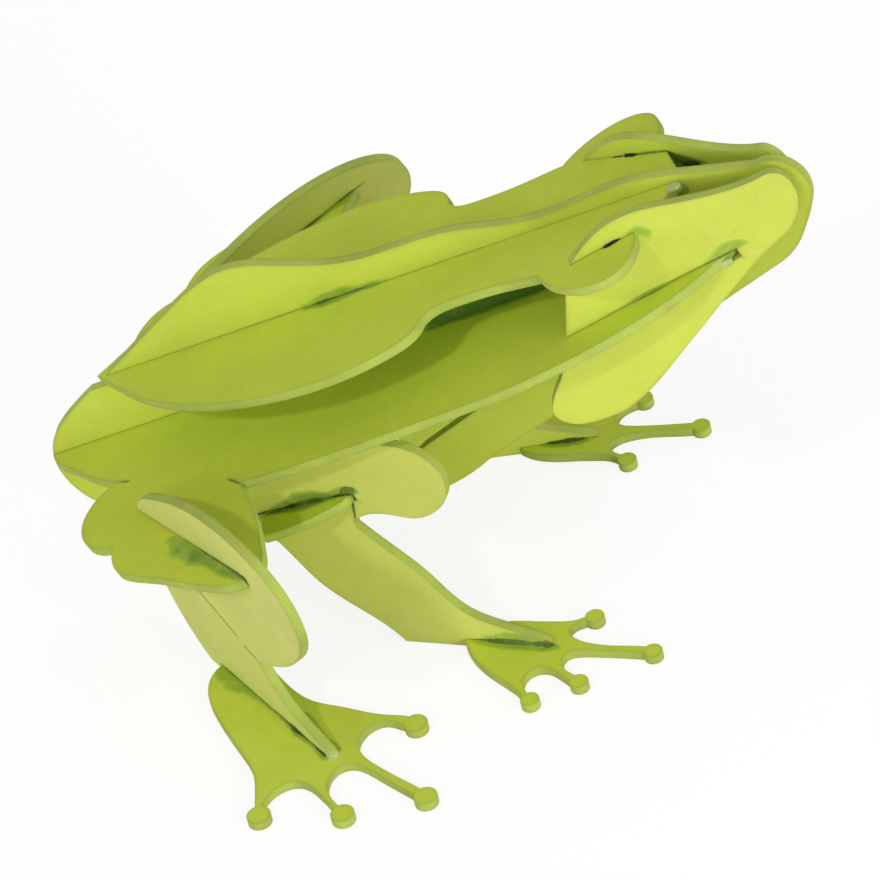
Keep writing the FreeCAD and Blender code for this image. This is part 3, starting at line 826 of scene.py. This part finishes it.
def glue_drop(where, t, off, wide, tall, kind=DRIED, on_second=False, stretch=1.0, dark=1.0):
    """A round drop on a face, t mm along the corner and off mm away from it."""
    base, d, na, nb, along_a, along_b = corner(*where)
    n, out = (nb, along_b) if on_second else (na, along_a)
    mid = base + d * (t * MM) + out * (off * MM)
    first = len(glue_verts)
    for i in range(DROP_RINGS):
        rise = 0.5 * math.pi * i / DROP_RINGS
        lift, r = math.sin(rise), math.cos(rise)
        for j in range(DROP_SIDES):
            a = 2.0 * math.pi * j / DROP_SIDES
            x, y = math.cos(a), math.sin(a)
            wobble = 1.0 + DROP_WOBBLE * noise.noise(Vector((x * DROP_LOBES, y * DROP_LOBES, t)))
            glue_verts.append(mid + d * (x * r * wide * wobble * stretch * MM)
                              + out * (y * r * wide * wobble * MM)
                              + n * (lift * tall * MM - (SINK if i == 0 else 0.0)))
            glue_core.append(dark * (DROP_RIM_DEPTH + DROP_TOP_DEPTH * lift))
    join_rings(first, DROP_RINGS, DROP_SIDES, kind)


glue_fillet(CHEST, [(-15.2, 0.05), (-13, 0.3), (-9, 0.35), (-6.5, 0.75), (-3.5, 0.8), (-1.5, 0.3),
                    (1.0, 0.45), (2.6, 0.7), (3.2, 0.05)])
glue_drop(CHEST, 2.4, 0.4, 0.9, 0.2, on_second=True, stretch=1.4, dark=0.55)
glue_fillet(THIGH, [(13.0, 0.04), (15.5, 0.3), (20, 0.3), (25, 0.4), (27.0, 0.45), (27.8, 0.05)])
glue_fillet(FOOT_OUT, [(-6.8, 0.05), (-4, 0.35), (0, 0.2), (6, 0.18), (11, 0.3), (13, 0.75), (14.6, 0.4),
                       (17, 0.25), (20.4, 0.5), (21.4, 0.05)])
glue_fillet(FOOT_IN, [(-21.4, 0.05), (-20, 0.5), (-16, 0.3), (-12, 0.45), (-8, 0.3), (-6, 0.05)])
glue_drop(FOOT_IN, -21.2, -0.7, 0.95, 0.7, MILKY)
glue_fillet(FRONT_FOOT, [(4.0, 0.04), (7, 0.4), (9, 0.75), (12, 0.8), (14, 0.6), (16.5, 0.8), (18, 0.05)],
            dark=0.7)
glue_fillet(BACK, [(1.0, 0.04), (4.5, 0.45), (8, 0.3), (11, 0.4), (14.5, 0.04)])
glue_drop(BACK, 62.4, 1.3, 1.0, 0.5, MILKY, stretch=1.2)
glue_fillet(JAW, [(-63.0, 0.05), (-61, 0.3), (-58, 0.25), (-56, 0.04)])
glue_drop(JAW, -60.2, -1.25, 0.6, 0.55, MILKY, stretch=1.9)
glue_fillet(JAW, [(-53, 0.03), (-49, 0.25), (-44, 0.03)], hollow=1.0)
# black beads along the eye slots: glue, darkened to black as painted shade of the slot gaps
glue_fillet(EYE, [(-50.6, 0.04), (-49.4, 0.42), (-47.9, 0.42), (-46.9, 0.04)], hollow=0.9, dark=2.6)
glue_fillet(FAR_EYE, [(-56, 0.1), (-53, 0.12), (-51.2, 0.16), (-50.2, 0.42), (-49.0, 0.42), (-48.2, 0.05)],
            hollow=0.9, dark=2.6)
# a flat dark drop in the gap in front of the far eye lobe: dark glue and painted shade
glue_drop(FAR_EYE, -58.7, -2.8, 0.7, 0.12, stretch=2.2, dark=1.2)
glue_fillet(FAR_FRONT_FOOT, [(8.0, 0.04), (10, 0.5), (12.5, 0.7), (14.5, 0.5), (15.5, 0.05)])
glue_fillet(FAR_THIGH, [(1.5, 0.04), (4.5, 0.4), (8.5, 0.4), (12, 0.2), (16, 0.4), (19, 0.05)])

glue_mesh = bpy.data.meshes.new("dried_glue")
glue_mesh.from_pydata([tuple(v) for v in glue_verts], [], glue_faces)
glue_mesh.update()
glue_mesh.attributes.new("core", "FLOAT", "POINT").data.foreach_set("value", glue_core)
glue_mesh.polygons.foreach_set("material_index", glue_kind)
outward = bmesh.new()
outward.from_mesh(glue_mesh)
bmesh.ops.recalc_face_normals(outward, faces=outward.faces)
outward.to_mesh(glue_mesh)
outward.free()
glue_mesh.polygons.foreach_set("use_smooth", [True] * len(glue_mesh.polygons))
glue_mesh.set_sharp_from_angle(angle=GLUE_CREASE)
glue_mesh.materials.append(make_dried_glue())
glue_mesh.materials.append(make_milky_glue())
glue = bpy.data.objects.new("dried_glue", glue_mesh)
bpy.context.scene.collection.objects.link(glue)
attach(glue, "root")


# ---------------------------------------------------------------- floor, backdrop and light
FLOOR_GLOW = 0.83
FLOOR_HALF = 2.5
FLOOR_CORNERS = ((-1, -1), (1, -1), (1, 1), (-1, 1))
FLOOR_LEVEL = -0.05 * MM    # just under the feet
AMBIENT = 0.44              # what the white room adds to the lamps
LAMPS_AIM = Vector((0, 0, 0.03))
# name, direction of the lamp from the frog, distance, width and watts
LAMPS = [
    ("key", (-0.27, -0.64, 0.72), 1.2, 0.09, 2.4),
    ("left fill", (-0.70, -0.68, 0.22), 1.0, 0.3, 1.2),
    ("low fill", (0.69, -0.69, 0.21), 1.0, 0.3, 2.7),
    ("right fill", (0.75, -0.55, 0.42), 1.0, 0.25, 0.8),
    ("nose fill", (0.97, -0.15, 0.35), 1.0, 0.3, 1.2),
    ("back fill", (0.10, 1.00, 0.60), 1.0, 0.5, 0.6),
]


def seen_by_camera(tree):
    """1 on rays that show the background: from the camera, off a gloss or through glass."""
    path = node(tree, "ShaderNodeLightPath").outputs
    seen = math_node(tree, "MAXIMUM", path["Is Camera Ray"], path["Is Glossy Ray"])
    return math_node(tree, "MAXIMUM", seen, path["Is Transmission Ray"])


def make_white_sweep():
    """White where it is seen, with the frog's shadow on it; plain pale paper for all other light."""
    material, tree = new_material("white sweep")
    plain = node(tree, "ShaderNodeBsdfDiffuse", inputs={"Color": FLOOR_PAPER})
    shadow = node(tree, "ShaderNodeBsdfDiffuse", inputs={"Color": FLOOR_SHADOW})
    glow = node(tree, "ShaderNodeEmission", inputs={"Color": WHITE, "Strength": FLOOR_GLOW})
    white = node(tree, "ShaderNodeAddShader", inputs={0: shadow.outputs[0], 1: glow.outputs[0]})
    surface(tree, node(tree, "ShaderNodeMixShader", inputs={
        0: seen_by_camera(tree), 1: plain.outputs[0], 2: white.outputs[0]}))
    return material


floor_mesh = bpy.data.meshes.new("floor")
floor_mesh.from_pydata(
    [(x * FLOOR_HALF, y * FLOOR_HALF, FLOOR_LEVEL) for x, y in FLOOR_CORNERS], [], [(0, 1, 2, 3)])
floor_mesh.materials.append(make_white_sweep())
floor = bpy.data.objects.new("floor", floor_mesh)
bpy.context.scene.collection.objects.link(floor)

world = bpy.data.worlds.new("studio")
world.use_nodes = True
world_tree = world.node_tree
world_tree.nodes.clear()
seen_share = math_node(world_tree, "MULTIPLY", seen_by_camera(world_tree), 1.0 - AMBIENT)
background = node(world_tree, "ShaderNodeBackground", inputs={
    "Color": WHITE, "Strength": math_node(world_tree, "ADD", seen_share, AMBIENT)})
node(world_tree, "ShaderNodeOutputWorld", inputs={"Surface": background.outputs[0]})
bpy.context.scene.world = world

for label, direction, distance, width, watts in LAMPS:
    lamp_data = bpy.data.lights.new(label, "AREA")
    lamp_data.shape = "DISK"
    lamp_data.size = width
    lamp_data.energy = watts
    lamp = bpy.data.objects.new(label, lamp_data)
    toward = Vector(direction).normalized()
    lamp.location = LAMPS_AIM + toward * distance
    lamp.rotation_euler = toward.to_track_quat("Z", "Y").to_euler()
    bpy.context.scene.collection.objects.link(lamp)
